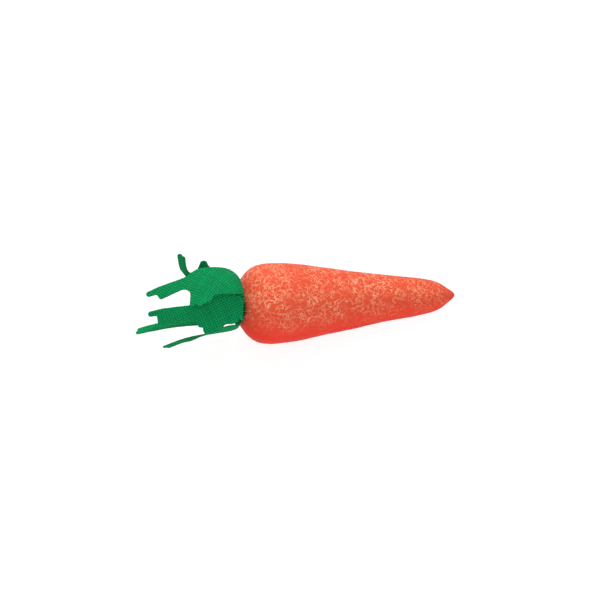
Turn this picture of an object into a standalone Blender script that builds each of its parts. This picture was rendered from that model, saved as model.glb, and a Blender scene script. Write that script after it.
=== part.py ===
"""A small craft carrot: a pressed cotton root with a socket in its crown, and six die-cut
cloth leaves glued into that socket.  It lies on a surface, tip towards +X.  Metres, +Z up."""

from math import cos, pi, radians, sin, tan

import bmesh
import bpy
import numpy as np
from mathutils import Matrix, Vector
from mathutils.geometry import delaunay_2d_cdt

MM = 0.001

# Driving dimensions of the root, in millimetres along its axis from the tip.
ROOT_LENGTH = 44.7
ROOT_RADIUS = 8.02
WIDEST_AT = 38.4
NIB_LENGTH = 5.0
ROOT_SIDES = 40
DROOP = radians(9.0)  # the axis slopes down towards the tip by this much
LAND_DEPTH = 0.15  # how far the underside is pressed flat where it rests
TIP_RADIUS_DOWN = 2.41  # from the axis at the tip to the line the whole root would rest on
TIP_RISE = TIP_RADIUS_DOWN - LAND_DEPTH  # the same, after pressing

# Socket in the crown, and the glue in it.
SOCKET_RADIUS = 2.7
SOCKET_DEPTH = 4.6
GLUE_RADIUS = 1.3
GLUE_LENGTH = 5.0
GLUE_BEAD = 0.7  # height of the rounded bead on top
GAP = 0.3

# Leaves: stiffened plain-woven cloth.
CLOTH = 0.3
TAIL_WIDTH = 1.5
TAIL_LENGTH = 3.6
TAIL_RADIUS = 1.95  # distance of each tail from the socket's axis
GRID = 1.1  # spacing of the mesh across a leaf

# The tip's place: this centres the whole carrot over the origin.
TIP_X = 32.82
TIP_Y = 0.0

AXIS = Vector((-cos(DROOP), 0.0, sin(DROOP)))  # from the tip towards the leaves
OVER = Vector((sin(DROOP), 0.0, cos(DROOP)))  # square to the axis, upwards
NEAR = Vector((0.0, -1.0, 0.0))
TIP = Vector((TIP_X, TIP_Y, TIP_RISE * cos(DROOP)))


def clear_scene():
    for old in list(bpy.data.objects):
        bpy.data.objects.remove(old)


def paint(name, colour, roughness):
    """A plain Principled material."""
    material = bpy.data.materials.new(name)
    material.use_nodes = True
    shader = material.node_tree.nodes["Principled BSDF"]
    shader.inputs["Base Color"].default_value = (*colour, 1.0)
    shader.inputs["Roughness"].default_value = roughness
    shader.inputs["Metallic"].default_value = 0.0
    return material


def add_object(name, bm, material):
    """The bmesh, given in millimetres, as a named object in metres."""
    bmesh.ops.scale(bm, vec=(MM, MM, MM), verts=bm.verts)
    mesh = bpy.data.meshes.new(name)
    bm.to_mesh(mesh)
    bm.free()
    mesh.materials.append(material)
    mesh.shade_smooth()
    mesh.set_sharp_from_angle(angle=radians(40))
    made = bpy.data.objects.new(name, mesh)
    bpy.context.scene.collection.objects.link(made)
    return made


def smooth_path(points, steps):
    """A Catmull-Rom curve through rows of numbers, of any width."""
    rows = np.array(points, float)
    rows = np.vstack([2 * rows[0] - rows[1], rows, 2 * rows[-1] - rows[-2]])
    curve = []
    for a, b, c, d in zip(rows, rows[1:], rows[2:], rows[3:]):
        for t in np.arange(steps) / steps:
            cubic = (3 * b - a - 3 * c + d) * t**3
            square = (2 * a - 5 * b + 4 * c - d) * t**2
            curve.append(0.5 * (2 * b + (c - a) * t + square + cubic))
    curve.append(rows[-2])
    return np.array(curve)


# The root: a turned outline from the nib to the crown, with the socket cut into it.


def flank_points():
    """(along, radius) of the outside of the root, from the nib to the crown's rim."""
    nib = [(0.0, 0.0), (0.12, 0.45), (0.63, 0.9), (1.9, 1.78), (3.1, 2.57), (NIB_LENGTH, 3.28)]
    taper = [(8.3, 3.86), (13.4, 4.48), (20.0, 5.47), (26.7, 6.57), (33.4, 7.68)]
    shoulder = [(WIDEST_AT, ROOT_RADIUS), (41.0, 7.68), (42.4, 6.9), (43.4, 5.91), (44.2, 4.8)]
    return nib + taper + shoulder


def root_outline():
    """The whole outline, from the nib's tip to the bottom of the socket on the axis."""
    flank = [tuple(point) for point in smooth_path(flank_points(), 3)]
    face = [(ROOT_LENGTH - 0.15, 4.1), (ROOT_LENGTH, 3.7), (ROOT_LENGTH, SOCKET_RADIUS + 0.6)]
    socket = [
        (ROOT_LENGTH - 0.15, SOCKET_RADIUS + 0.2),
        (ROOT_LENGTH - 0.6, SOCKET_RADIUS),
        (ROOT_LENGTH - SOCKET_DEPTH, SOCKET_RADIUS),
        (ROOT_LENGTH - SOCKET_DEPTH, 0.0),
    ]
    return flank + face + socket


def turned(outline, sides):
    """A closed solid turned round the carrot's axis, from (along, radius) points."""
    bm = bmesh.new()
    ring = [bm.verts.new((radius, 0.0, along)) for along, radius in outline]
    edges = [bm.edges.new(pair) for pair in zip(ring, ring[1:])]
    bmesh.ops.spin(
        bm, geom=ring + edges, cent=(0, 0, 0), axis=(0, 0, 1), angle=2 * pi, steps=sides, use_merge=True
    )
    bmesh.ops.remove_doubles(bm, verts=bm.verts, dist=0.001)
    bmesh.ops.recalc_face_normals(bm, faces=bm.faces)
    place = Matrix((NEAR, OVER, AXIS)).transposed().to_4x4()
    place.translation = TIP
    bm.transform(place)
    return bm


def resting_plane_cutter():
    """A block below the resting plane, which presses the root's underside flat."""
    bm = bmesh.new()
    bmesh.ops.create_cube(bm, size=1.0)
    bmesh.ops.scale(bm, vec=(2.4 * ROOT_LENGTH, 4 * ROOT_RADIUS, 2.0), verts=bm.verts)
    bmesh.ops.translate(bm, vec=(TIP_X - ROOT_LENGTH / 2, TIP_Y, -1.0), verts=bm.verts)
    cutter = add_object("resting_plane_cutter", bm, paint("cutter", (0.5, 0.5, 0.5), 0.8))
    cutter.hide_render = True
    cutter.display_type = "WIRE"
    return cutter


def make_root():
    orange = paint("carrot_paint", (0.76, 0.16, 0.07), 0.5)
    root = add_object("root", turned(root_outline(), ROOT_SIDES), orange)
    press = root.modifiers.new("flat underside", "BOOLEAN")
    press.object = resting_plane_cutter()
    press.operation = "DIFFERENCE"


def make_glue():
    """The glue that fills the middle of the socket, with a low bead on top."""
    start = ROOT_LENGTH - SOCKET_DEPTH + GAP
    straight = GLUE_LENGTH - GLUE_BEAD
    outline = [(start, 0.0), (start, GLUE_RADIUS), (start + straight, GLUE_RADIUS)]
    for step in range(1, 5):
        turn = step * pi / 8
        outline.append((start + straight + GLUE_BEAD * sin(turn), GLUE_RADIUS * cos(turn)))
    add_object("glue_plug", turned(outline, 20), paint("dried_glue", (0.72, 0.7, 0.6), 0.25))


# The leaves: a flat die-cut outline, bent along a spine.


class Spine:
    """A bent centre line.  Its stations are (along, radius, around, roll, cup): around is degrees
    from the top towards the near side, roll is degrees, and cup is the cloth's curve across, 1/mm."""

    def __init__(self, stations):
        rows = []
        for along, radius, around, roll, cup in stations:
            turn = radians(around)
            out = cos(turn) * OVER + sin(turn) * NEAR
            across = cos(turn) * NEAR - sin(turn) * OVER
            rows.append([*(TIP + along * AXIS + radius * out), *across, radians(roll), cup])
        rows = smooth_path(rows, 12)
        self.place = rows[:, :3]
        steps = np.linalg.norm(np.diff(self.place, axis=0), axis=1)
        self.reach = np.concatenate([[0.0], np.cumsum(steps)])
        ahead = np.gradient(self.place, self.reach, axis=0)
        ahead /= np.linalg.norm(ahead, axis=1)[:, None]
        across = rows[:, 3:6]
        across = across - (across * ahead).sum(axis=1)[:, None] * ahead
        across /= np.linalg.norm(across, axis=1)[:, None]
        out = np.cross(ahead, across)
        roll = rows[:, 6:7]
        self.across = across * np.cos(roll) + out * np.sin(roll)
        self.cup = rows[:, 7]
        self.ahead = ahead

    def at(self, table, u):
        return np.array([np.interp(u, self.reach, column) for column in table.T])

    def bend(self, u, v):
        """The place in space of the flat point (u along, v across)."""
        u = u + TAIL_LENGTH
        place = self.at(self.place, u)
        ahead = self.at(self.ahead, u)
        across = self.at(self.across, u)
        across /= np.linalg.norm(across)
        out = np.cross(ahead, across)
        out /= np.linalg.norm(out)
        cup = np.interp(u, self.reach, self.cup)
        cup = cup if abs(cup) > 1e-4 else 1e-4
        beyond = max(0.0, u - self.reach[-1])
        return place + beyond * ahead + sin(cup * v) / cup * across - (1 - cos(cup * v)) / cup * out


def rounded(corners, step=0.5):
    """A closed outline whose (u, v, radius) corners are replaced by arcs."""
    outline = []
    for i, (u, v, radius) in enumerate(corners):
        here = Vector((u, v))
        back = Vector(corners[i - 1][:2]) - here
        forth = Vector(corners[(i + 1) % len(corners)][:2]) - here
        half = back.angle(forth) / 2
        if radius == 0 or half > 1.54:
            outline.append(here)
            continue
        run = min(radius / tan(half), 0.45 * back.length, 0.45 * forth.length)
        bow = run * tan(half)
        centre = here + (back.normalized() + forth.normalized()).normalized() * bow / sin(half)
        start = here + back.normalized() * run - centre
        sweep = start.angle_signed(here + forth.normalized() * run - centre)
        parts = max(1, round(abs(sweep) * bow / step))
        for part in range(parts + 1):
            outline.append(centre + Matrix.Rotation(-sweep * part / parts, 2) @ start)
    return outline


def side_lobe(edge, start, width, reach):
    """The corners of a short lobe that stands out from an edge of the body."""
    return [
        (start + width, edge, 0.8),
        (start + width, edge - reach, 1.1),
        (start + 0.5, edge - reach, 1.1),
        (start, edge, 0.8),
    ]


def leaf_outline(side, body, finger, lobe):
    """The flat die-cut leaf: a tail, a wide body, one long finger with a notched end, and a short
    lobe on the other edge.  side is +1 or -1 for the edge that carries the finger."""
    width, shoulder, end, slant = body
    offset, base, tip, reach, notch = finger
    edge = width / 2
    fork = end + 1.2
    corners = [
        (-TAIL_LENGTH, TAIL_WIDTH / 2, 0.2),
        (0.0, TAIL_WIDTH / 2, 1.0),
        (shoulder, edge, 4.0),
        (end - 1.0, edge, 2.5),
        (fork, offset + base / 2, 3.0),
        (reach - 3.0, offset + tip / 2, 0.8),
        (reach, offset + tip / 2 - 0.2, 0.5),
        (reach, offset + tip / 2 - 1.2, 0.5),
        (reach - notch, offset + tip / 2 - 1.3, 0.3),
        (reach - notch - 0.3, offset - tip / 2, 0.4),
        (fork, offset - base / 2, 1.4),
        (end + slant, -edge, 1.2),
        *side_lobe(-edge, *lobe),
        (shoulder - 1.0, -edge, 3.0),
        (0.0, -TAIL_WIDTH / 2, 1.0),
        (-TAIL_LENGTH, -TAIL_WIDTH / 2, 0.2),
    ]
    return rounded([(u, side * v, radius) for u, v, radius in corners][::-side])


def inside(point, outline):
    """True where the point is inside the outline and clear of its edge."""
    crossings = 0
    for a, b in zip(outline, outline[1:] + outline[:1]):
        if (a.y > point.y) != (b.y > point.y):
            crossings += point.x < a.x + (point.y - a.y) / (b.y - a.y) * (b.x - a.x)
        run = b - a
        t = max(0.0, min(1.0, (point - a).dot(run) / max(run.length_squared, 1e-9)))
        if (point - a - t * run).length < 0.35 * GRID:
            return False
    return crossings % 2 == 1


def flat_mesh(outline):
    """The outline filled with even triangles: its points and faces."""
    points = list(outline)
    lows = [min(point[i] for point in outline) for i in (0, 1)]
    highs = [max(point[i] for point in outline) for i in (0, 1)]
    for u in np.arange(lows[0] + GRID / 2, highs[0], GRID):
        for v in np.arange(lows[1] + GRID / 2, highs[1], GRID):
            if inside(Vector((u, v)), outline):
                points.append(Vector((u, v)))
    edges = [(i, (i + 1) % len(outline)) for i in range(len(outline))]
    verts, _, faces, *_ = delaunay_2d_cdt(points, edges, [], 1, 1e-4)
    return verts, faces


def make_leaf(name, outline, stations, material):
    """One leaf: the flat cut bent along its spine, then given the cloth's thickness."""
    spine = Spine(stations)
    flat, faces = flat_mesh(outline)
    bm = bmesh.new()
    verts = [bm.verts.new(Vector(spine.bend(point.x, point.y))) for point in flat]
    for face in faces:
        bm.faces.new([verts[i] for i in face])
    bmesh.ops.recalc_face_normals(bm, faces=bm.faces)
    leaf = add_object(name, bm, material)
    wall = leaf.modifiers.new("cloth", "SOLIDIFY")
    wall.thickness = CLOTH * MM
    wall.offset = 0.0


def tail(around):
    """Stations of the tail in the socket, common to all leaves, up to the crown's face."""
    return [
        (ROOT_LENGTH - TAIL_LENGTH, TAIL_RADIUS, around, 0, 0.0),
        (ROOT_LENGTH - 0.6, TAIL_RADIUS, around, 0, 0.0),
    ]


LEAVES = {
    "leaf_top": dict(
        outline=dict(
            side=-1,
            body=(7.6, 8.0, 14.6, 3.4),
            finger=(2.0, 2.3, 2.6, 24.6, 1.8),
            lobe=(12.8, 3.8, 0.9),
        ),
        stations=tail(7) + [
            (46.0, 2.9, 7, 0, 0.02),
            (45.6, 4.6, 8, 0, 0.08),
            (45.7, 6.2, 7, 0, 0.12),
            (48.2, 7.5, 5, 0, 0.12),
            (53.0, 7.15, 8, 0, 0.03),
            (58.0, 4.9, 18, 0, 0.0),
            (63.5, 2.2, 42, 0, 0.02),
        ],
    ),
    "leaf_front": dict(
        outline=dict(
            side=-1,
            body=(6.2, 7.0, 12.5, 0.6),
            finger=(0.3, 2.8, 3.4, 23.7, 1.8),
            lobe=(8.0, 4.2, 1.4),
        ),
        stations=tail(67) + [
            (46.0, 3.0, 66, 0, 0.0),
            (45.6, 4.6, 62, 0, 0.05),
            (46.6, 5.3, 57, 0, 0.08),
            (51.0, 4.9, 60, 0, 0.05),
            (56.0, 5.1, 65, 0, 0.02),
            (65.0, 6.4, 71, 0, 0.0),
        ],
    ),
    "leaf_low": dict(
        outline=dict(
            side=1,
            body=(4.4, 6.6, 13.6, 0.0),
            finger=(0.9, 2.6, 2.6, 18.6, 0.4),
            lobe=(8.6, 2.8, 0.2),
        ),
        stations=tail(122) + [
            (46.0, 3.0, 120, 0, 0.0),
            (45.5, 4.0, 120, 0, 0.05),
            (46.6, 4.7, 123, 0, 0.06),
            (51.0, 5.3, 132, 0, 0.05),
            (56.0, 6.4, 138, -7, 0.0),
            (62.5, 8.6, 142, -10, 0.0),
        ],
    ),
    "leaf_under": dict(
        outline=dict(
            side=-1,
            body=(4.7, 7.6, 14.0, 0.0),
            finger=(1.1, 2.4, 2.4, 22.3, 0.4),
            lobe=(9.0, 3.0, 0.2),
        ),
        stations=tail(184) + [
            (46.0, 3.0, 184, 0, 0.0),
            (45.8, 3.4, 186, 0, 0.05),
            (48.0, 3.3, 188, 2, 0.05),
            (54.0, 3.3, 190, 10, 0.03),
            (61.0, 4.4, 188, 20, 0.0),
            (67.0, 5.9, 184, 20, 0.0),
        ],
    ),
    "leaf_far": dict(
        outline=dict(
            side=1,
            body=(6.0, 6.0, 8.4, 0.0),
            finger=(0.6, 2.4, 2.8, 16.6, 1.2),
            lobe=(5.4, 2.4, 1.0),
        ),
        stations=tail(-118) + [
            (46.0, 3.0, -116, 0, 0.0),
            (45.6, 4.8, -116, 0, 0.06),
            (47.0, 6.0, -120, 0, 0.08),
            (51.0, 6.4, -136, 0, 0.06),
            (56.0, 6.4, -154, 0, 0.02),
            (62.0, 6.6, -162, 0, 0.0),
        ],
    ),
    "leaf_back": dict(
        outline=dict(
            side=-1,
            body=(5.0, 6.0, 11.8, 0.0),
            finger=(0.4, 1.0, 2.2, 17.4, 0.3),
            lobe=(9.2, 2.5, 1.1),
        ),
        stations=tail(-56) + [
            (46.0, 3.0, -56, 0, 0.0),
            (45.6, 4.6, -57, 0, 0.06),
            (47.2, 6.0, -58, 0, 0.08),
            (49.4, 6.5, -58, 4, 0.05),
            (51.8, 6.6, -58, 30, 0.0),
            (54.0, 6.4, -54, 20, 0.03),
            (55.4, 8.2, -48, 20, 0.0),
            (56.2, 12.0, -42, 28, 0.0),
        ],
    ),
}


def make_leaves():
    for name, leaf in LEAVES.items():
        cloth = paint(name + "_cloth", (0.01, 0.28, 0.09), 0.85)
        make_leaf(name, leaf_outline(**leaf["outline"]), leaf["stations"], cloth)


clear_scene()
make_root()
make_glue()
make_leaves()
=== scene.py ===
# %% [markdown]
# # A small craft carrot
# The real thing is made, not grown. A tapering root is pressed from wet cotton pulp, dried and painted
# orange-red. Stiff leaves are cut from green plain-woven cloth with a steel die, and their tails are
# glued into a socket in the crown. These cells build what the eye sees over a fixed frame of plain
# solids, which already has every size and place.

# %% Load the frame and keep its box
from math import cos, pi, radians, sin, tan

import bmesh
import bpy
import numpy as np
from mathutils import Matrix, Vector
from mathutils.geometry import delaunay_2d_cdt


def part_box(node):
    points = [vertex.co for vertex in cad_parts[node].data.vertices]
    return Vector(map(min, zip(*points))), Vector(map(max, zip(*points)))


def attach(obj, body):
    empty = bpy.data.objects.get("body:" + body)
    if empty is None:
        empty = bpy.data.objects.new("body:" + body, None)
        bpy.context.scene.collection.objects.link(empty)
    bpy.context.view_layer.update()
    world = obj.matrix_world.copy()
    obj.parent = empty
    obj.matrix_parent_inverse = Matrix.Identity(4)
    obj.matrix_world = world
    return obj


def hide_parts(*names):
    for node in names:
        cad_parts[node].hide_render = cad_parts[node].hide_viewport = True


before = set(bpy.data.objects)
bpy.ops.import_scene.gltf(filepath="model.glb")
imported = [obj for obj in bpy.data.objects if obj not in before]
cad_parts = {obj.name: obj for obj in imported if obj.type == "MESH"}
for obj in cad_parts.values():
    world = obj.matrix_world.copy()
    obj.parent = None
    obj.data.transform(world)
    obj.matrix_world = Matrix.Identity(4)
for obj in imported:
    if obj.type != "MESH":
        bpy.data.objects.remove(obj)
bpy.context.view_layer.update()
MM = 0.001

# %% [markdown]
# The carrot leans on its side, so everything is measured from its tip along its own axis, which droops
# towards the tip. Three directions do the work: along the axis, square to it upwards, and towards the
# near side.

# %% The carrot's own axis
DROOP = radians(9.0)
TIP_RISE = 2.26  # mm from the resting plane to the axis at the tip, square to the axis
AXIS = Vector((-cos(DROOP), 0.0, sin(DROOP)))
OVER = Vector((sin(DROOP), 0.0, cos(DROOP)))
NEAR = Vector((0.0, -1.0, 0.0))
root_low, root_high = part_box("root")
TIP = Vector((root_high.x / MM, (root_low.y + root_high.y) / 2 / MM, TIP_RISE * cos(DROOP)))
print("tip at, mm:", [round(c, 2) for c in TIP])

# %% [markdown]
# Node trees are easier to read as arithmetic. `Wire` is one value in a tree: adding, scaling or
# comparing wires adds Math nodes. `Tree.node` adds any other node: its settings come first, then the
# values or wires for its sockets.


# %% Node trees as expressions
class Wire:
    """One output of a node, with arithmetic."""

    def __init__(self, tree, socket):
        self.tree = tree
        self.socket = socket

    def math(self, operation, *values):
        return self.tree.node("ShaderNodeMath", {"operation": operation}, dict(enumerate(values)))

    def out(self, name):
        return Wire(self.tree, self.socket.node.outputs[name])

    def __add__(self, other):
        return self.math("ADD", self, other)

    def __sub__(self, other):
        return self.math("SUBTRACT", self, other)

    def __rsub__(self, other):
        return self.math("SUBTRACT", other, self)

    def __mul__(self, other):
        return self.math("MULTIPLY", self, other)

    def __truediv__(self, other):
        return self.math("DIVIDE", self, other)

    def __pow__(self, other):
        return self.math("POWER", self, other)

    def __abs__(self):
        return self.math("ABSOLUTE", self)

    def sine(self):
        return self.math("SINE", self)

    def floor(self):
        return self.math("FLOOR", self)

    def at_least(self, other):
        return self.math("MAXIMUM", self, other)

    def over(self, other):
        return self.math("GREATER_THAN", self, other)

    def clamp(self):
        return self.tree.node("ShaderNodeClamp", {}, {"Value": self})

    __radd__ = __add__
    __rmul__ = __mul__


class Tree:
    """A node tree, shader or geometry, that is filled by expressions."""

    def __init__(self, nodes, links):
        self.nodes = nodes
        self.links = links

    def node(self, kind, settings=None, inputs=None, output=0):
        made = self.nodes.new(kind)
        for name, value in (settings or {}).items():
            setattr(made, name, value)
        for name, value in (inputs or {}).items():
            socket = made.inputs[name]
            if isinstance(value, Wire):
                self.links.new(value.socket, socket)
            elif value is not None:
                socket.default_value = value
        return Wire(self, made.outputs[output]) if made.outputs else made

    def vector(self, operation, *values):
        return self.node("ShaderNodeVectorMath", {"operation": operation}, dict(enumerate(values)))

    def scaled(self, vector, factor):
        values = {"Vector": vector, "Scale": factor}
        return self.node("ShaderNodeVectorMath", {"operation": "SCALE"}, values)

    def parts(self, vector):
        split = self.node("ShaderNodeSeparateXYZ", {}, {0: vector})
        return split.out("X"), split.out("Y"), split.out("Z")

    def joined(self, x, y, z):
        return self.node("ShaderNodeCombineXYZ", {}, {0: x, 1: y, 2: z})

    def noise(self, place, size, seed, detail=2.0, distortion=0.0):
        """Smooth noise from 0 to 1 whose features are about size metres across."""
        values = {"Vector": place, "W": seed, "Scale": 1.0 / size}
        values.update({"Detail": detail, "Distortion": distortion})
        return self.node("ShaderNodeTexNoise", {"noise_dimensions": "4D"}, values)


# %% [markdown]
# A Geometry Nodes tree is a recipe with named inputs. `recipe` starts one, and `cook` runs it on an
# object: it sets each input by its socket's identifier, takes the evaluated result as a plain mesh,
# and leaves no modifier behind.


# %% Geometry Nodes recipes
SOCKETS = {
    float: "NodeSocketFloat",
    int: "NodeSocketInt",
    Vector: "NodeSocketVector",
    bpy.types.Material: "NodeSocketMaterial",
}


def recipe(name, **inputs):
    """A new geometry tree with one named input for each given default value."""
    group = bpy.data.node_groups.new(name, "GeometryNodeTree")
    group.interface.new_socket("Geometry", in_out="INPUT", socket_type="NodeSocketGeometry")
    group.interface.new_socket("Geometry", in_out="OUTPUT", socket_type="NodeSocketGeometry")
    for title, value in inputs.items():
        kind = next(socket for python, socket in SOCKETS.items() if isinstance(value, python))
        socket = group.interface.new_socket(title, in_out="INPUT", socket_type=kind)
        socket.default_value = value
    tree = Tree(group.nodes, group.links)
    tree.group = group
    tree.given = tree.node("NodeGroupInput").out
    return tree


def serve(tree, geometry, material):
    """Ends a recipe: everything is real mesh, in one material."""
    real = tree.node("GeometryNodeRealizeInstances", {}, {0: geometry})
    smooth = tree.node("GeometryNodeSetShadeSmooth", {}, {0: real})
    dressed = tree.node("GeometryNodeSetMaterial", {}, {0: smooth, "Material": material})
    tree.node("NodeGroupOutput", {}, {"Geometry": dressed})
    print(f"{tree.group.name}: a recipe of {len(tree.nodes)} nodes")


def cook(name, start, tree, **values):
    """Runs a recipe on a starting mesh, and gives the result as a plain object."""
    worker = bpy.data.objects.new(name + "_start", start)
    bpy.context.scene.collection.objects.link(worker)
    modifier = worker.modifiers.new(tree.group.name, "NODES")
    modifier.node_group = tree.group
    for item in tree.group.interface.items_tree:
        if item.in_out == "INPUT" and item.name in values:
            modifier[item.identifier] = values[item.name]
    bpy.context.view_layer.update()
    graph = bpy.context.evaluated_depsgraph_get()
    mesh = bpy.data.meshes.new_from_object(
        worker.evaluated_get(graph), preserve_all_data_layers=True, depsgraph=graph
    )
    mesh.name = name
    bpy.data.objects.remove(worker)
    piece = bpy.data.objects.new(name, mesh)
    bpy.context.scene.collection.objects.link(piece)
    print(f"{name}: {len(mesh.polygons)} faces")
    return piece


# %% [markdown]
# ## Finishes
# The paint sits thin on the pulp. It pools darker in the wrinkles. On the upper side the crests turn a
# paler orange, partly where the paint wears thin and partly as painted highlight, glints of the light
# from above, and the orange there is lighter overall, as painted light. A painted texture would need
# an unwrapped skin. Here one wrinkle pattern drives colour and gloss together instead. It is a
# function of the place in the object, and so it runs over the whole skin without a seam.

# %% Carrot paint
WRINKLE = 0.9 * MM  # distance between the pulp's wrinkles
TOP_LIGHT_MIDDLE = 7.0  # mm above the resting plane where the painted top light fades out
TOP_LIGHT_FADE = 14.0  # mm over which it fades


def new_material(name):
    material = bpy.data.materials.new(name)
    material.use_nodes = True
    material.node_tree.nodes.clear()
    tree = Tree(material.node_tree.nodes, material.node_tree.links)
    return material, tree


def finish_material(tree, **sockets):
    named = {name.replace("_", " "): value for name, value in sockets.items()}
    shader = tree.node("ShaderNodeBsdfPrincipled", {}, named)
    tree.node("ShaderNodeOutputMaterial", {}, {"Surface": shader})


def mixed(tree, factor, first, second):
    """From the first colour at 0 to the second at 1. Sockets 6 and 7 are the Mix node's colours."""
    first, second = (tint if isinstance(tint, Wire) else (*tint, 1.0) for tint in (first, second))
    values = {0: factor, 6: first, 7: second}
    return tree.node("ShaderNodeMix", {"data_type": "RGBA"}, values, output=2)


def bumped(tree, strength, depth, height):
    """A normal that leans as the height rises and falls, with depth in metres."""
    values = {"Strength": strength, "Distance": depth, "Height": height}
    return tree.node("ShaderNodeBump", {}, values)


def ridges(tree, place, size, seed):
    """Thin winding crests, 1 on a crest and falling to 0 between."""
    waves = tree.noise(place, size, seed, detail=1.5, distortion=0.6)
    return (1.0 - abs(waves * 2.0 - 1.0) * 9.0).clamp()


def carrot_paint():
    material, tree = new_material("carrot_paint")
    place = tree.node("ShaderNodeTexCoord").out("Object")
    blotches = tree.noise(place, 7 * MM, 3.0)
    crests = ridges(tree, place, WRINKLE, 1.0)
    # patches where the crests go paler: paint wearing thin, and painted glints
    wear_and_glint_patches = tree.noise(place, 2.6 * MM, 5.0)
    grain = tree.noise(place, 0.3 * MM, 8.0, detail=3.0)
    coat = mixed(tree, blotches, (0.74, 0.022, 0.010), (0.78, 0.045, 0.02))
    over = tree.vector("DOT_PRODUCT", place, tuple(OVER)).out("Value") / MM
    topside = ((over - TOP_LIGHT_MIDDLE) / TOP_LIGHT_FADE + 0.5).clamp()
    # painted light: 1 on the upper side, where the light from above falls, and 0 below
    painted_top_light = (topside * 2.2 - 0.75).clamp()
    # paler crests on the upper side: partly paint wearing thin, partly painted highlight as glints
    pale = (crests * (wear_and_glint_patches * 3.0 - 0.8).clamp() * (0.4 + grain)).clamp() * painted_top_light * 0.8
    # painted light: the upper side turns a lighter orange, as if lit from above
    coat = mixed(tree, painted_top_light * 0.8, coat, (0.76, 0.105, 0.045))
    colour = mixed(tree, pale, coat, (1.0, 0.6, 0.36))
    pits = ((0.4 - grain) * 3.0).clamp() * 0.3
    colour = mixed(tree, pits, colour, (0.5, 0.05, 0.02))
    bump = bumped(tree, 0.35, 0.05 * MM, grain + crests)
    gloss = dict(Roughness=0.5 - pale * 0.15, Specular_IOR_Level=0.08)
    finish_material(tree, Base_Color=colour, Normal=bump, **gloss)
    return material


paint = carrot_paint()
print("carrot paint:", len(paint.node_tree.nodes), "nodes")

# %% [markdown]
# The cloth is a plain weave: every thread passes over one and under the next, so its face is a board
# of small bumps that lie now along, now across. `weave` gives that height from a place counted in
# threads. The geometry and the material both call it. The material paints the hollows darker, as
# painted shade, and the crests lighter, as painted highlight, so these always sit in the real hollows
# and on the real crests.


# %% Green cloth
def weave(tree, thread):
    """Height of a plain weave from 0 to 1, and 1 where the lengthwise thread is on top."""
    p, q, _ = tree.parts(thread)
    wave_p = (p * pi).sine()
    wave_q = (q * pi).sine()
    lengthwise = (wave_p * wave_q).over(0.0)
    round_p = abs(wave_p).at_least(0.001)
    round_q = abs(wave_q).at_least(0.001)
    along = round_p**0.35 * round_q**0.9
    across = round_p**0.9 * round_q**0.35
    return lengthwise * along + (1.0 - lengthwise) * across, lengthwise


def leaf_cloth():
    material, tree = new_material("leaf_cloth")
    place = tree.node("ShaderNodeTexCoord").out("Object")
    thread = tree.node("ShaderNodeAttribute", {"attribute_name": "thread"}).out("Vector")
    p, q, _ = tree.parts(thread)
    height, lengthwise = weave(tree, thread)
    single = tree.node(
        "ShaderNodeTexWhiteNoise",
        {"noise_dimensions": "2D"},
        {"Vector": tree.joined(q.floor() * lengthwise, p.floor() * (1.0 - lengthwise), 0.0)},
    )
    clouds = tree.noise(place, 4 * MM, 2.0)
    fluff = tree.noise(place, 0.16 * MM, 4.0, detail=3.0)
    # painted shade and highlight: darker in the weave's hollows and lighter on its crests, mixed with
    # each thread's own tone, slow clouds and fluff
    shade = (height * 0.75 + single * 0.2 + clouds * 0.3 + fluff * 0.4 - 0.3).clamp()
    colour = mixed(tree, shade, (0.0005, 0.075, 0.024), (0.003, 0.37, 0.115))
    lint = ((fluff - 0.62) * 6.0).clamp() * 0.35
    colour = mixed(tree, lint, colour, (0.06, 0.42, 0.18))
    bump = bumped(tree, 0.5, 0.05 * MM, height + fluff * 0.6)
    finish_material(tree, Base_Color=colour, Roughness=0.8, Normal=bump, Specular_IOR_Level=0.08)
    return material


def loose_thread():
    material, tree = new_material("loose_thread")
    place = tree.node("ShaderNodeTexCoord").out("Object")
    tint = tree.noise(place, 1.5 * MM, 6.0)
    colour = mixed(tree, tint, (0.01, 0.2, 0.07), (0.16, 0.55, 0.3))
    finish_material(tree, Base_Color=colour, Roughness=0.8)
    return material


cloth = leaf_cloth()
fray = loose_thread()
print("leaf cloth:", len(cloth.node_tree.nodes), "nodes")

# %% [markdown]
# The glue dried as a low glossy bead between the leaves' tails, slightly yellow and cloudy. Its plain
# solid already has the right shape, so it only gets a better material in its own slot.


# %% Dried glue
def dried_glue():
    material, tree = new_material("dried_glue")
    place = tree.node("ShaderNodeTexCoord").out("Object")
    cloudy = tree.noise(place, 0.8 * MM, 7.0)
    colour = mixed(tree, cloudy, (0.62, 0.58, 0.42), (0.85, 0.83, 0.72))
    bump = bumped(tree, 0.4, 0.1 * MM, cloudy)
    finish_material(tree, Base_Color=colour, Roughness=0.2 + cloudy * 0.15, Normal=bump)
    return material


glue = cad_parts["glue_plug"]
glue.data.materials.clear()
glue.data.materials.append(dried_glue())
print("glue plug wears:", glue.data.materials[0].name)

# %% [markdown]
# ## The root
# A pressed root is a turned shape, so it is drawn once as an outline and swept round the axis. A
# Screw modifier could do the turning, but here the wrinkles must follow the same rule, so one
# Geometry Nodes recipe takes the outline, turns it, adds the pulp's dents and wrinkles along the
# normals, and presses the underside flat where the carrot rests.


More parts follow.
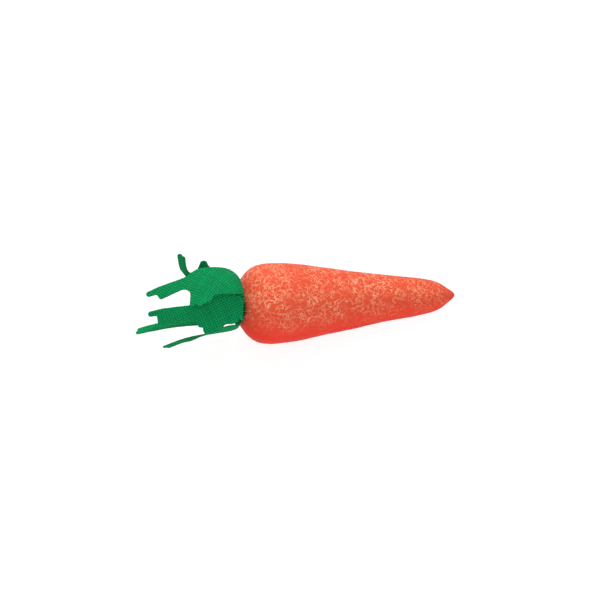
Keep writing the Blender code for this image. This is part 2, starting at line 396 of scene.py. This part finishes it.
# %% The root's outline
def smooth_path(points, steps):
    """A Catmull-Rom curve through rows of numbers, of any width."""
    rows = np.array(points, float)
    rows = np.vstack([2 * rows[0] - rows[1], rows, 2 * rows[-1] - rows[-2]])
    curve = []
    for a, b, c, d in zip(rows, rows[1:], rows[2:], rows[3:]):
        for t in np.arange(steps) / steps:
            cubic = (3 * b - a - 3 * c + d) * t**3
            curve.append(0.5 * (2 * b + (c - a) * t + (2 * a - 5 * b + 4 * c - d) * t**2 + cubic))
    curve.append(rows[-2])
    return np.array(curve)


ROOT_LENGTH = 44.7
SOCKET_RADIUS = 2.7
SOCKET_DEPTH = 4.6
NIB = [(0.0, 0.0), (0.12, 0.45), (0.63, 0.9), (1.9, 1.78), (3.1, 2.57), (5.0, 3.28)]
TAPER = [(8.3, 3.86), (13.4, 4.48), (20.0, 5.47), (26.7, 6.57), (33.4, 7.68)]
SHOULDER = [(38.4, 8.02), (41.0, 7.68), (42.4, 6.9), (43.4, 5.91), (44.2, 4.8)]


def root_outline():
    """The outline's mesh: x is the radius and z the distance from the tip, in millimetres."""
    flank = [tuple(point) for point in smooth_path(NIB + TAPER + SHOULDER, 8)]
    face = [(ROOT_LENGTH - 0.15, 4.1), (ROOT_LENGTH, 3.7), (ROOT_LENGTH, SOCKET_RADIUS + 0.6)]
    rim = [(ROOT_LENGTH - 0.15, SOCKET_RADIUS + 0.2), (ROOT_LENGTH - 0.6, SOCKET_RADIUS)]
    floor = ROOT_LENGTH - SOCKET_DEPTH
    points = flank + face + rim + [(floor, SOCKET_RADIUS), (floor, 0.0)]
    mesh = bpy.data.meshes.new("root_outline")
    edges = [(i, i + 1) for i in range(len(points) - 1)]
    mesh.from_pydata([(radius, 0.0, along) for along, radius in points], edges, [])
    return mesh


# %% [markdown]
# Turning is a grid of points bent into a tube. Each row takes its radius and its distance from the
# tip off the outline, and each column its angle. Merge by Distance closes the seam, the tip and the
# socket's floor. Noise along the normals then gives three sizes of relief: slow dents from pressing,
# the wrinkles that the paint knows too, and a fine grain.

# %% The turning recipe
SKIN_ROWS = 300  # along the outline
SKIN_SIDES = 288  # round the axis


def turning_recipe():
    """Turns an outline round the axis, leans it, and gives it the pulp's relief."""
    tree = recipe(
        "turned_root",
        Rows=SKIN_ROWS,
        Sides=SKIN_SIDES,
        Tip=Vector((0, 0, 0)),
        Turn=Vector((0, 0, 0)),
        Dents=0.22 * MM,
        Wrinkles=0.09 * MM,
        Material=paint,
    )
    given = tree.given
    outline = tree.node("GeometryNodeMeshToCurve", {}, {"Mesh": given("Geometry")})
    counts = {"Vertices X": given("Rows"), "Vertices Y": given("Sides")}
    sheet = tree.node("GeometryNodeMeshGrid", {}, counts)
    x, y, _ = tree.parts(tree.node("GeometryNodeInputPosition"))
    drawn = tree.node(
        "GeometryNodeSampleCurve",
        {"mode": "FACTOR", "use_all_curves": True},
        {"Curves": outline, "Factor": (x + 0.5).clamp()},
    )
    radius, _, along = tree.parts(drawn.out("Position"))
    angle = (y + 0.5) * (2 * pi)
    turned = tree.joined(
        radius * MM * tree.node("ShaderNodeMath", {"operation": "COSINE"}, {0: angle}),
        radius * MM * angle.sine(),
        along * MM,
    )
    shape = tree.node("GeometryNodeSetPosition", {}, {"Geometry": sheet, "Position": turned})
    shape = tree.node("GeometryNodeMergeByDistance", {}, {"Geometry": shape, "Distance": 0.002 * MM})
    place = {"Geometry": shape, "Translation": given("Tip"), "Rotation": given("Turn")}
    shape = tree.node("GeometryNodeTransform", {}, place)
    spot = tree.node("GeometryNodeInputPosition")
    normal = tree.node("GeometryNodeInputNormal")
    dents = (tree.noise(spot, 8 * MM, 11.0, detail=1.0) - 0.5) * given("Dents") * 2.0
    crumple = (ridges(tree, spot, WRINKLE, 1.0) - 0.3) * given("Wrinkles")
    fine = (tree.noise(spot, 0.5 * MM, 12.0, detail=2.0) - 0.5) * given("Wrinkles")
    offset = tree.scaled(normal, dents + crumple + fine)
    shape = tree.node("GeometryNodeSetPosition", {}, {"Geometry": shape, "Offset": offset})
    a, b, c = tree.parts(tree.node("GeometryNodeInputPosition"))
    pressed = tree.joined(a, b, c.at_least(0.0))
    shape = tree.node("GeometryNodeSetPosition", {}, {"Geometry": shape, "Position": pressed})
    serve(tree, shape, given("Material"))
    return tree


def face_outwards(mesh):
    """Merges what coincides and turns every face outwards."""
    bm = bmesh.new()
    bm.from_mesh(mesh)
    bmesh.ops.remove_doubles(bm, verts=bm.verts, dist=0.001 * MM)
    bmesh.ops.recalc_face_normals(bm, faces=bm.faces)
    print(f"{mesh.name}: volume {bm.calc_volume(signed=True) / MM**3:.0f} mm3")
    bm.to_mesh(mesh)
    bm.free()


turn = Matrix((NEAR, OVER, AXIS)).transposed().to_euler()
root_skin = cook("root_skin", root_outline(), turning_recipe(), Tip=TIP * MM, Turn=Vector(turn))
face_outwards(root_skin.data)
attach(root_skin, "root")
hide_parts("root")

# %% [markdown]
# ## The leaves
# Each leaf starts flat, as the die cuts it: a tail, a wide body, one long finger with a notched end
# and a short lobe. Then it is bent along a spine. The spine's stations say how far along the axis and
# how far out it runs, on which side, how much it rolls and how much it cups across. Cloth simulation
# would let stiff cloth this small spring flat, so the bend is given station by station, as the
# maker's fingers set it.

# %% The spine of a leaf
TAIL_WIDTH = 1.5
TAIL_LENGTH = 3.6
TAIL_RADIUS = 1.95


class Spine:
    """A bent centre line through stations of (along, radius, around, roll, cup)."""

    def __init__(self, stations):
        rows = []
        for along, radius, around, roll, cup in stations:
            turned = radians(around)
            out = cos(turned) * OVER + sin(turned) * NEAR
            across = cos(turned) * NEAR - sin(turned) * OVER
            rows.append([*(TIP + along * AXIS + radius * out), *across, radians(roll), cup])
        rows = smooth_path(rows, 12)
        self.place = rows[:, :3]
        steps = np.linalg.norm(np.diff(self.place, axis=0), axis=1)
        self.reach = np.concatenate([[0.0], np.cumsum(steps)])
        ahead = np.gradient(self.place, self.reach, axis=0)
        ahead /= np.linalg.norm(ahead, axis=1)[:, None]
        across = rows[:, 3:6]
        across = across - (across * ahead).sum(axis=1)[:, None] * ahead
        across /= np.linalg.norm(across, axis=1)[:, None]
        out = np.cross(ahead, across)
        roll = rows[:, 6:7]
        self.across = across * np.cos(roll) + out * np.sin(roll)
        self.cup = rows[:, 7]
        self.ahead = ahead

    def at(self, table, u):
        return np.stack([np.interp(u, self.reach, column) for column in table.T], axis=-1)

    def bend(self, flat):
        """Places in space, and outward normals, of flat points (u along, v across)."""
        u = flat[:, 0] + TAIL_LENGTH
        v = flat[:, 1:2]
        ahead = self.at(self.ahead, u)
        across = self.at(self.across, u)
        across /= np.linalg.norm(across, axis=1)[:, None]
        out = np.cross(ahead, across)
        out /= np.linalg.norm(out, axis=1)[:, None]
        cup = np.interp(u, self.reach, self.cup)[:, None]
        cup = np.where(abs(cup) > 1e-4, cup, 1e-4)
        beyond = np.maximum(0.0, u - self.reach[-1])[:, None]
        place = self.at(self.place, u) + beyond * ahead
        place = place + np.sin(cup * v) / cup * across - (1 - np.cos(cup * v)) / cup * out
        return place, out * np.cos(cup * v) + across * np.sin(cup * v)


# %% [markdown]
# A steel die has no sharp inner corners, so the cut is drawn as corners that each carry a radius, and
# `rounded` replaces every corner by an arc. All six leaves share one list of corners, and differ only
# in the sizes of the body, the finger and the lobe.

# %% The die's outline
STRAIGHT = 1.54  # half the angle at a corner, in radians, past which it needs no arc


def rounded(corners, step):
    """A closed outline whose (u, v, radius) corners are replaced by arcs."""
    outline = []
    for i, (u, v, radius) in enumerate(corners):
        here = Vector((u, v))
        back = Vector(corners[i - 1][:2]) - here
        forth = Vector(corners[(i + 1) % len(corners)][:2]) - here
        half = back.angle(forth) / 2
        if half > STRAIGHT:
            outline.append(here)
            continue
        run = min(radius / tan(half), 0.45 * back.length, 0.45 * forth.length)
        bow = run * tan(half)
        centre = here + (back.normalized() + forth.normalized()).normalized() * bow / sin(half)
        start = here + back.normalized() * run - centre
        sweep = start.angle_signed(here + forth.normalized() * run - centre)
        parts = max(1, round(abs(sweep) * bow / step))
        for part in range(parts + 1):
            outline.append(centre + Matrix.Rotation(-sweep * part / parts, 2) @ start)
    return outline


def side_lobe(edge, start, width, reach):
    """The corners of a short lobe that stands out from an edge of the body."""
    return [
        (start + width, edge, 0.8),
        (start + width, edge - reach, 1.1),
        (start + 0.5, edge - reach, 1.1),
        (start, edge, 0.8),
    ]


def leaf_outline(side, body, finger, lobe, step):
    """The flat leaf; side is +1 or -1 for the edge that carries the finger."""
    width, shoulder, end, slant = body
    offset, base, tip, reach, notch = finger
    edge = width / 2
    fork = end + 1.2
    corners = [
        (-TAIL_LENGTH, TAIL_WIDTH / 2, 0.2),
        (0.0, TAIL_WIDTH / 2, 1.0),
        (shoulder, edge, 4.0),
        (end - 1.0, edge, 2.5),
        (fork, offset + base / 2, 3.0),
        (reach - 3.0, offset + tip / 2, 0.8),
        (reach, offset + tip / 2 - 0.2, 0.5),
        (reach, offset + tip / 2 - 1.2, 0.5),
        (reach - notch, offset + tip / 2 - 1.3, 0.3),
        (reach - notch - 0.3, offset - tip / 2, 0.4),
        (fork, offset - base / 2, 1.4),
        (end + slant, -edge, 1.2),
        *side_lobe(-edge, *lobe),
        (shoulder - 1.0, -edge, 3.0),
        (0.0, -TAIL_WIDTH / 2, 1.0),
        (-TAIL_LENGTH, -TAIL_WIDTH / 2, 0.2),
    ]
    return rounded([(u, side * v, radius) for u, v, radius in corners][::-side], step)


# %% [markdown]
# The weave's bumps are real relief, so the flat leaf is filled with points five or six times closer
# than its threads. Delaunay triangulation fills any outline evenly and keeps its edge exact. The
# filled sheet becomes a front, a back and the cut edge between them: one closed piece of cloth.

# %% A closed sheet of cloth
CLOTH = 0.2  # mm, without the relief of the weave
THREAD = 0.5  # mm from one thread to the next
SAMPLE = 0.09  # mm between the points of the cloth's mesh


def resampled(outline, step):
    """The same outline with a point every step."""
    corners = np.array([[*point] for point in outline + outline[:1]])
    travelled = np.concatenate([[0.0], np.cumsum(np.linalg.norm(np.diff(corners, axis=0), axis=1))])
    stops = np.linspace(0.0, travelled[-1], int(travelled[-1] / step), endpoint=False)
    return np.stack([np.interp(stops, travelled, column) for column in corners.T], axis=-1)


def inside(points, loop, margin):
    """Which points are inside the loop and at least margin from its edge."""
    ends = np.roll(loop, -1, axis=0)
    keep = np.zeros(len(points), bool)
    for block in np.array_split(np.arange(len(points)), max(1, len(points) // 2000)):
        u, v = points[block, :1], points[block, 1:]
        crosses = (loop[:, 1] > v) != (ends[:, 1] > v)
        rise = np.where(ends[:, 1] == loop[:, 1], 1.0, ends[:, 1] - loop[:, 1])
        meets = loop[:, 0] + (v - loop[:, 1]) / rise * (ends[:, 0] - loop[:, 0])
        odd = (crosses & (u < meets)).sum(axis=1) % 2 == 1
        near = np.hypot(u - loop[:, 0], v - loop[:, 1]).min(axis=1)
        keep[block] = odd & (near > margin)
    return keep


def filled(loop, step):
    """The loop filled with even triangles: flat points and faces."""
    low, high = loop.min(axis=0), loop.max(axis=0)
    rows = np.arange(low[0], high[0], step * 0.866)
    columns = np.arange(low[1], high[1], step)
    grid = np.array([[u, v + (i % 2) * step / 2] for i, u in enumerate(rows) for v in columns])
    points = np.vstack([loop, grid[inside(grid, loop, 0.6 * step)]])
    edges = [(i, (i + 1) % len(loop)) for i in range(len(loop))]
    verts, _, faces, *_ = delaunay_2d_cdt([Vector(point) for point in points], edges, [], 1, 1e-5)
    return np.array([[*vert] for vert in verts]), np.array(faces)


def store(mesh, name, rows):
    """Keeps one vector for each point on the mesh."""
    layer = mesh.attributes.new(name, "FLOAT_VECTOR", "POINT")
    layer.data.foreach_set("vector", np.ascontiguousarray(rows, np.float32).ravel())


def cloth_mesh(name, spine, loop, grain):
    """A closed sheet bent along the spine. Each point keeps its place counted in threads, its
    way out of the cloth's face, and the side it is on."""
    flat, faces = filled(loop, SAMPLE)
    place, out = spine.bend(flat)
    if np.cross(*(flat[faces[:, k]] - flat[faces[:, 0]] for k in (1, 2))).sum() < 0:
        faces = faces[:, ::-1]
    count = len(flat)
    middle = place * MM
    lift = out * (CLOTH / 2 * MM)
    rim = np.arange(len(loop))
    after = np.roll(rim, -1)
    turns = 1 if np.cross(loop[1] - loop[0], loop.mean(axis=0) - loop[0]) > 0 else -1
    wall = np.stack([rim, rim + count, after + count, after], axis=1)[:, ::turns]
    mesh = bpy.data.meshes.new(name)
    skin = [*map(tuple, faces), *map(tuple, faces[:, ::-1] + count), *map(tuple, wall)]
    mesh.from_pydata([*middle + lift, *middle - lift], [], skin)
    turned = np.array([[cos(grain), sin(grain)], [-sin(grain), cos(grain)]])
    thread = flat @ turned.T / THREAD
    depth = np.zeros((2 * count, 1))
    store(mesh, "thread", np.hstack([np.vstack([thread, thread]), depth]))
    store(mesh, "lift", np.vstack([out, -out]))
    return mesh, faces, flat


# %% [markdown]
# The sheet already knows its threads and its way out, as two attributes, so raising the weave is one
# step along the way out. A Displace modifier with a texture could do the same, but the weave would
# then be drawn twice, and could drift from the one in the material. Both faces sway together with one
# noise, so the cloth puckers and keeps its thickness.

# %% The weaving recipe
def weaving_recipe():
    """Raises the threads out of both faces, and puckers the whole sheet a little."""
    tree = recipe("woven_cloth", Relief=0.07 * MM, Pucker=0.12 * MM, Seed=1.0, Material=cloth)
    given = tree.given
    vector = {"data_type": "FLOAT_VECTOR"}
    thread = tree.node("GeometryNodeInputNamedAttribute", vector, {"Name": "thread"})
    lift = tree.node("GeometryNodeInputNamedAttribute", vector, {"Name": "lift"})
    height, _ = weave(tree, thread)
    raised = tree.scaled(lift, height * given("Relief"))
    spot = tree.node("GeometryNodeInputPosition")
    sway = tree.noise(spot, 3.5 * MM, given("Seed"), detail=1.0).out("Color")
    sway = tree.vector("SUBTRACT", sway, (0.5, 0.5, 0.5))
    sway = tree.scaled(sway, given("Pucker") * 2.0)
    shape = tree.node(
        "GeometryNodeSetPosition",
        {},
        {"Geometry": given("Geometry"), "Offset": tree.vector("ADD", raised, sway)},
    )
    serve(tree, shape, given("Material"))
    return tree


woven = weaving_recipe()

# %% [markdown]
# A die leaves cut ends of yarn all along the edge. They repeat hundreds of times, so a second recipe
# walks the leaf's edge and plants a short bent hair every third of a millimetre, pointing outwards
# with some scatter.


# %% The fraying recipe
SCATTER = 0.7  # how far a hair's aim may stray, where its way out is 1
SHORTEST = 0.25  # of the longest hair


def hair(tree, radius):
    """One bent yarn end, 1 mm long, with three sides."""
    bend = tree.node(
        "GeometryNodeCurveQuadraticBezier",
        {},
        {
            "Resolution": 4,
            "Start": (0.0, 0.0, 0.0),
            "Middle": (0.0, 0.0, 0.6 * MM),
            "End": (0.35 * MM, 0.0, 0.9 * MM),
        },
    )
    sides = {"Resolution": 3, "Radius": radius}
    ring = tree.node("GeometryNodeCurvePrimitiveCircle", {"mode": "RADIUS"}, sides)
    swept = {"Curve": bend, "Profile Curve": ring, "Fill Caps": True}
    return tree.node("GeometryNodeCurveToMesh", {}, swept)


def fraying_recipe():
    """Plants hairs along an edge, pointing outwards, with a scatter in aim and length."""
    tree = recipe(
        "frayed_edge",
        Spacing=0.33 * MM,
        Thickness=0.022 * MM,
        Length=0.55,
        Seed=1,
        Material=fray,
    )
    given = tree.given
    vector = {"data_type": "FLOAT_VECTOR"}
    edge = tree.node("GeometryNodeMeshToCurve", {}, {"Mesh": given("Geometry")})
    stride = {"Curve": edge, "Length": given("Spacing")}
    edge = tree.node("GeometryNodeResampleCurve", {"mode": "LENGTH"}, stride)
    spots = tree.node("GeometryNodeCurveToPoints", {"mode": "EVALUATED"}, {"Curve": edge})
    outward = tree.node("GeometryNodeInputNamedAttribute", vector, {"Name": "outward"})
    scatter = tree.node(
        "FunctionNodeRandomValue",
        vector,
        {"Min": (-SCATTER,) * 3, "Max": (SCATTER,) * 3, "Seed": given("Seed")},
    )
    lean = {"Vector": tree.vector("ADD", outward, scatter)}
    aim = tree.node("FunctionNodeAlignRotationToVector", {"axis": "Z"}, lean)
    sizes = {2: SHORTEST, 3: 1.0, "Seed": given("Seed")}  # sockets 2 and 3: least and most
    size = tree.node("FunctionNodeRandomValue", {"data_type": "FLOAT"}, sizes, output=1)
    planted = tree.node(
        "GeometryNodeInstanceOnPoints",
        {},
        {
            "Points": spots,
            "Instance": hair(tree, given("Thickness")),
            "Rotation": aim,
            "Scale": size * given("Length"),
        },
    )
    serve(tree, planted, given("Material"))
    return tree


frayed = fraying_recipe()


def edge_mesh(name, spine, loop):
    """The leaf's edge as a line in space, with the way out of the leaf at each point."""
    place, out = spine.bend(loop)
    along = np.roll(place, -1, axis=0) - np.roll(place, 1, axis=0)
    outward = np.cross(along, out)
    outward /= np.linalg.norm(outward, axis=1)[:, None]
    inner = spine.bend(loop * 0.98 + loop.mean(axis=0) * 0.02)[0]
    flip = np.sign(((place - inner) * outward).sum())
    mesh = bpy.data.meshes.new(name)
    edges = [(i, (i + 1) % len(loop)) for i in range(len(loop))]
    mesh.from_pydata(place * MM, edges, [])
    store(mesh, "outward", outward * flip)
    return mesh


# %% [markdown]
# The six leaves differ in cut and in bend. The top one arches over the rest like a hood, the front
# one hangs in its shadow, the low one is seen on edge, and the back one stands up behind.

# %% The six leaves
def tail(around):
    """Stations of the tail in the socket, common to all leaves, up to the crown's face."""
    return [
        (ROOT_LENGTH - TAIL_LENGTH, TAIL_RADIUS, around, 0, 0.0),
        (ROOT_LENGTH - 0.6, TAIL_RADIUS, around, 0, 0.0),
    ]


LEAVES = {
    "leaf_top": dict(
        grain=125,
        outline=dict(
            side=-1,
            body=(7.6, 8.0, 14.6, 3.4),
            finger=(2.0, 2.3, 2.6, 24.6, 1.8),
            lobe=(12.8, 3.8, 0.9),
        ),
        stations=tail(7) + [
            (46.0, 2.9, 7, 0, 0.02),
            (45.6, 4.6, 8, 0, 0.08),
            (45.7, 6.2, 7, 0, 0.12),
            (48.2, 7.5, 5, 0, 0.12),
            (53.0, 7.15, 8, 0, 0.03),
            (58.0, 4.9, 18, 0, 0.0),
            (63.5, 2.2, 42, 0, 0.02),
        ],
    ),
    "leaf_front": dict(
        grain=20,
        outline=dict(
            side=-1,
            body=(6.2, 7.0, 12.5, 0.6),
            finger=(0.3, 2.8, 3.4, 23.7, 1.8),
            lobe=(8.0, 4.2, 1.4),
        ),
        stations=tail(67) + [
            (46.0, 3.0, 66, 0, 0.0),
            (45.6, 4.6, 62, 0, 0.05),
            (46.6, 5.3, 57, 0, 0.08),
            (51.0, 4.9, 60, 0, 0.05),
            (56.0, 5.1, 65, 0, 0.02),
            (65.0, 6.4, 71, 0, 0.0),
        ],
    ),
    "leaf_low": dict(
        grain=70,
        outline=dict(
            side=1,
            body=(4.4, 6.6, 13.6, 0.0),
            finger=(0.9, 2.6, 2.6, 18.6, 0.4),
            lobe=(8.6, 2.8, 0.2),
        ),
        stations=tail(122) + [
            (46.0, 3.0, 120, 0, 0.0),
            (45.5, 4.0, 120, 0, 0.05),
            (46.6, 4.7, 123, 0, 0.06),
            (51.0, 5.3, 132, 0, 0.05),
            (56.0, 6.4, 138, -7, 0.0),
            (62.5, 8.6, 142, -10, 0.0),
        ],
    ),
    "leaf_under": dict(
        grain=35,
        outline=dict(
            side=-1,
            body=(4.7, 7.6, 14.0, 0.0),
            finger=(1.1, 2.4, 2.4, 22.3, 0.4),
            lobe=(9.0, 3.0, 0.2),
        ),
        stations=tail(184) + [
            (46.0, 3.0, 184, 0, 0.0),
            (45.8, 3.4, 186, 0, 0.05),
            (48.0, 3.3, 188, 2, 0.05),
            (54.0, 3.3, 190, 10, 0.03),
            (61.0, 4.4, 188, 20, 0.0),
            (67.0, 5.9, 184, 20, 0.0),
        ],
    ),
    "leaf_far": dict(
        grain=50,
        outline=dict(
            side=1,
            body=(6.0, 6.0, 8.4, 0.0),
            finger=(0.6, 2.4, 2.8, 16.6, 1.2),
            lobe=(5.4, 2.4, 1.0),
        ),
        stations=tail(-118) + [
            (46.0, 3.0, -116, 0, 0.0),
            (45.6, 4.8, -116, 0, 0.06),
            (47.0, 6.0, -120, 0, 0.08),
            (51.0, 6.4, -136, 0, 0.06),
            (56.0, 6.4, -154, 0, 0.02),
            (62.0, 6.6, -162, 0, 0.0),
        ],
    ),
    "leaf_back": dict(
        grain=95,
        outline=dict(
            side=-1,
            body=(5.0, 6.0, 11.8, 0.0),
            finger=(0.4, 1.0, 2.2, 17.4, 0.3),
            lobe=(9.2, 2.5, 1.1),
        ),
        stations=tail(-56) + [
            (46.0, 3.0, -56, 0, 0.0),
            (45.6, 4.6, -57, 0, 0.06),
            (47.2, 6.0, -58, 0, 0.08),
            (49.4, 6.5, -58, 4, 0.05),
            (51.8, 6.6, -58, 30, 0.0),
            (54.0, 6.4, -54, 20, 0.03),
            (55.4, 8.2, -48, 20, 0.0),
            (56.2, 12.0, -42, 28, 0.0),
        ],
    ),
}


# %% [markdown]
# On the near side, where the front leaf meets the hood, a few yarns are longer and stand out over the
# root's shoulder. They grow from a short arc of edge with the same recipe, set wider and longer.

# %% Stray yarn ends
STRAY_ALONG = 45.8  # mm from the tip
STRAY_RADIUS = 5.5  # mm from the axis
STRAY_ARC = (44.0, 84.0)  # degrees round the axis, from straight up towards the near side
STRAY_STOPS = 12
STRAY_LEAN = 0.7  # towards the tip, where the way out from the axis is 1


def stray_ends():
    """Longer yarn ends that stand out over the root's shoulder, below the hood."""
    places = []
    outward = []
    for around in np.radians(np.linspace(*STRAY_ARC, STRAY_STOPS)):
        out = cos(around) * OVER + sin(around) * NEAR
        places.append((TIP + STRAY_ALONG * AXIS + STRAY_RADIUS * out) * MM)
        outward.append(out - STRAY_LEAN * AXIS)
    mesh = bpy.data.meshes.new("stray_ends_start")
    mesh.from_pydata(places, [(i, i + 1) for i in range(len(places) - 1)], [])
    store(mesh, "outward", outward)
    return cook("stray_ends", mesh, frayed, Spacing=0.9 * MM, Length=1.3, Seed=11)


# %% [markdown]
# A leaf is woven and frayed, and attached to the root's body. A print gives its length, the width of
# the strip it is cut from, the area of the cut itself, and the share of the strip that the cut takes.
# All its loose yarn ends go with it.

# %% Making the leaves
STRIP = 10.0  # mm, the width of the strip that each leaf is cut from


def make_leaf(name, seed):
    """Makes one leaf with its frayed edge, and attaches both to the root's body."""
    leaf = LEAVES[name]
    spine = Spine(leaf["stations"])
    loop = resampled(leaf_outline(**leaf["outline"], step=SAMPLE), SAMPLE)
    start, faces, flat = cloth_mesh(name + "_flat", spine, loop, radians(leaf["grain"]))
    corners = flat[faces]
    doubled = np.cross(corners[:, 1] - corners[:, 0], corners[:, 2] - corners[:, 0])
    area = abs(doubled).sum() / 2
    piece = cook(name + "_cloth", start, woven, Seed=float(seed))
    hairs = [cook(name + "_fray", edge_mesh(name + "_edge", spine, loop), frayed, Seed=seed)]
    if name == "leaf_front":
        hairs.append(stray_ends())
    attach(piece, "root")
    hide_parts(name)
    for hair_piece in hairs:
        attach(hair_piece, "root")
    low, high = loop.min(axis=0), loop.max(axis=0)
    length = high[0] - low[0]
    share = area / STRIP / length
    print(f"{name}: {length:.1f} mm of a {STRIP:.0f} mm strip, {area:.1f} mm2, {share:.3f} of it")
    return piece


for seed, name in enumerate(LEAVES, start=1):
    make_leaf(name, seed)

# %% [markdown]
# ## The stage
# A plain white floor that glows a little like a light table, so that shadows stay faint. Two soft
# lights: a key from above and behind, and a weaker, wider fill from the front. A pale surround lights
# the rest. The standard view transform keeps the paint's strong orange-red as it is mixed.

# %% Floor and light
FLOOR = 1.5  # metres from the middle to each side
floor_corners = [(-FLOOR, -FLOOR, 0), (FLOOR, -FLOOR, 0), (FLOOR, FLOOR, 0), (-FLOOR, FLOOR, 0)]
floor_mesh = bpy.data.meshes.new("floor")
floor_mesh.from_pydata(floor_corners, [], [(0, 1, 2, 3)])
floor = bpy.data.objects.new("floor", floor_mesh)
bpy.context.scene.collection.objects.link(floor)
floor_paint, floor_tree = new_material("white_floor")
finish_material(
    floor_tree,
    Base_Color=(0.25, 0.25, 0.25, 1.0),
    Roughness=0.9,
    Emission_Color=(1.0, 1.0, 1.0, 1.0),
    Emission_Strength=0.88,
    Specular_IOR_Level=0.0,
)
floor_mesh.materials.append(floor_paint)


def soft_light(name, place, size, power):
    """A square light, with its size in metres and its power in watts, that faces the carrot."""
    light = bpy.data.lights.new(name, "AREA")
    light.size = size
    light.energy = power
    lamp = bpy.data.objects.new(name, light)
    lamp.location = place
    lamp.rotation_euler = Vector(place).to_track_quat("Z", "Y").to_euler()
    bpy.context.scene.collection.objects.link(lamp)


soft_light("key", place=(0.0, 0.3, 0.7), size=0.3, power=4.4)
soft_light("fill", place=(-0.1, -0.6, 0.6), size=0.5, power=2.2)
world = bpy.data.worlds.new("surround")
world.use_nodes = True
background = world.node_tree.nodes["Background"]
background.inputs["Color"].default_value = (1.0, 1.0, 1.0, 1.0)
background.inputs["Strength"].default_value = 0.4
bpy.context.scene.world = world
bpy.context.scene.view_settings.view_transform = "Standard"

# %% [markdown]
# The camera stands a metre away with a long lens, so the carrot shows with hardly any perspective. An
# orthographic camera would have none at all, which looks unreal. The lens follows from the sensor, the
# distance and the width that the frame should take in.

# %% Camera
AZIMUTH = radians(-15)  # to the left of straight in front
ELEVATION = radians(40)
FRAME_WIDTH = 0.12  # metres across the frame, at the carrot
DISTANCE = 1.0
SENSOR = 36.0
AIM_LEFT = 30.86  # mm from the tip, as the camera sees it, to the middle of the frame
AIM_DOWN = 1.02
back = Vector((sin(AZIMUTH) * cos(ELEVATION), -cos(AZIMUTH) * cos(ELEVATION), sin(ELEVATION)))
right = Vector((cos(AZIMUTH), sin(AZIMUTH), 0.0))
up = back.cross(right)
aim = TIP * MM - right * AIM_LEFT * MM - up * AIM_DOWN * MM
camera = bpy.data.cameras.new("camera")
camera.sensor_width = SENSOR
camera.lens = SENSOR * DISTANCE / FRAME_WIDTH
viewer = bpy.data.objects.new("camera", camera)
viewer.location = aim + back * DISTANCE
viewer.rotation_euler = back.to_track_quat("Z", "Y").to_euler()
bpy.context.scene.collection.objects.link(viewer)
bpy.context.scene.camera = viewer
print(f"camera lens: {camera.lens:.0f} mm")
